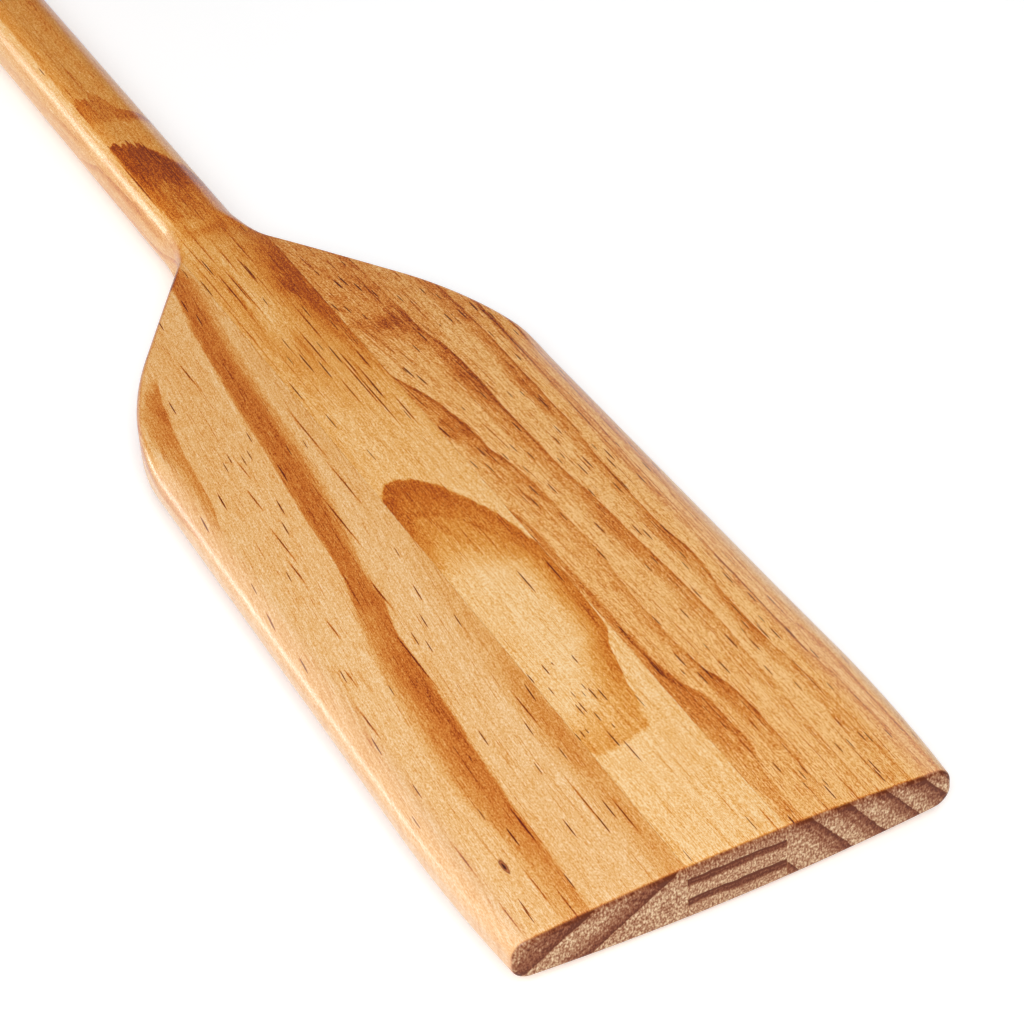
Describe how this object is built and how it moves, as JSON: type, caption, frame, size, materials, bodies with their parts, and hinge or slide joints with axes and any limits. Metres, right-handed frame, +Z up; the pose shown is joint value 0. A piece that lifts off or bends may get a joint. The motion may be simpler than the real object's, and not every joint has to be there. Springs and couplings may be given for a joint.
{
  "type": "boat paddle",
  "caption": "Long single-bladed wooden boat paddle: square-tipped crowned blade with sloping shoulders, slim rounded shaft and a rounded palm grip.",
  "frame": {"origin": "on the surface the paddle lies on, below the middle of its overall length and width", "axes": "+Y along the shaft from the blade tip to the grip, +X to the right across the blade seen from above with the grip away, +Z up through the blade's upper face"},
  "size_m": [0.147, 1.22, 0.0243],
  "materials": {
    "shaft_stave": "planed and sanded knot-free golden pine under clear gloss varnish",
    "left_blade_board": "planed and sanded pale tan pine with one small knot under clear gloss varnish",
    "right_blade_board": "planed and sanded pinkish tan banded pine under clear gloss varnish",
    "left_grip_cheek": "turned and sanded pale tan pine under clear gloss varnish",
    "right_grip_cheek": "turned and sanded pinkish tan pine under clear gloss varnish"
  },
  "bodies": {
    "root": {"shaft_stave": "shaft_stave", "left_blade_board": "left_blade_board", "right_blade_board": "right_blade_board", "left_grip_cheek": "left_grip_cheek", "right_grip_cheek": "right_grip_cheek"}
  },
  "joints": []
}
